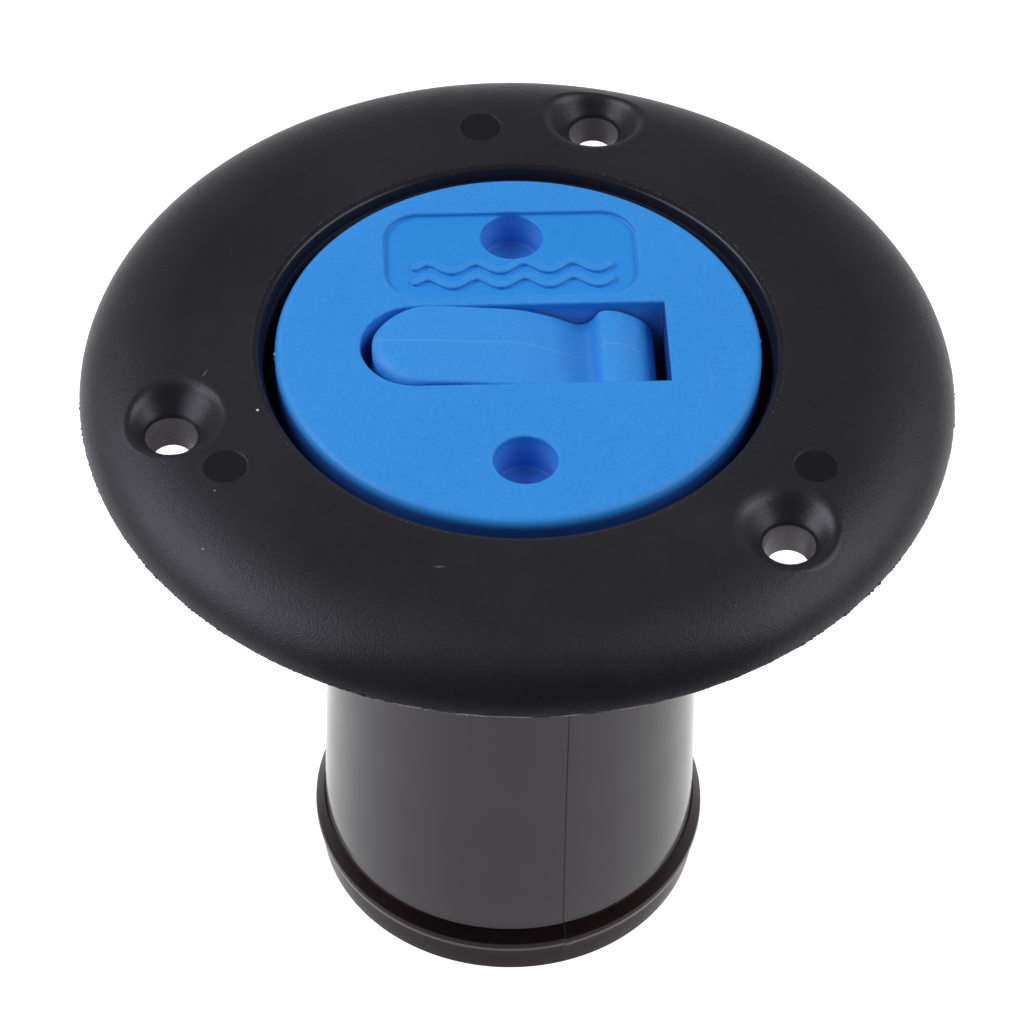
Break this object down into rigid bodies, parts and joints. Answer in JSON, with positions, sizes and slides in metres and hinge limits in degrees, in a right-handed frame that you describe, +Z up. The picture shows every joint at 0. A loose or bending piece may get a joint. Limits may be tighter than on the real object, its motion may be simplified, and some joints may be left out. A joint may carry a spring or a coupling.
{
  "type": "deck fill cap",
  "caption": "Round flush deck fill with a blue screw cap, a flip-up lever in the cap, a black screw-down flange and a long beaded hose tail.",
  "frame": {"origin": "centre of the bottom end of the hose tail", "axes": "+Z up along the bore, out of the deck; +X along the lever's pocket, from its round end to its square end, so the lever's pin lies along Y"},
  "size_m": [0.085, 0.085, 0.0734],
  "materials": {
    "body_black": "matt moulded nylon with a fine eroded grain, glossier on the bore lip and the hose tail",
    "cap_blue": "satin blue nylon with fine scratches",
    "stainless": "plain stainless steel",
    "nitrile": "greased rubber"
  },
  "bodies": {
    "body": {"fill_body": "body_black"},
    "tether_swivel": {"tether_swivel": "stainless"},
    "cap": {"cap": "cap_blue", "cap_o_ring": "nitrile", "lever_pin": "stainless", "tether_screw": "stainless", "tether_washer": "stainless"},
    "lever": {"lever": "cap_blue"}
  },
  "joints": [
    {"name": "cap_lift", "type": "slide", "parent": "body", "child": "tether_swivel", "axis": [0, 0, 1], "range_m": [0, 0.02001]},
    {"name": "cap_turn", "type": "hinge", "parent": "tether_swivel", "child": "cap", "pos_m": [0, 0, 0.07], "axis": [0, 0, 1], "range_deg": [0, 1200]},
    {"name": "lever_flip", "type": "hinge", "parent": "cap", "child": "lever", "pos_m": [0.00875, 0, 0.06817], "axis": [0, 1, 0], "range_deg": [0, 100]}
  ],
  "couplings": [
    {"joint": "cap_lift", "follows": "cap_turn", "m_per_rad": 0.00095493}
  ]
}
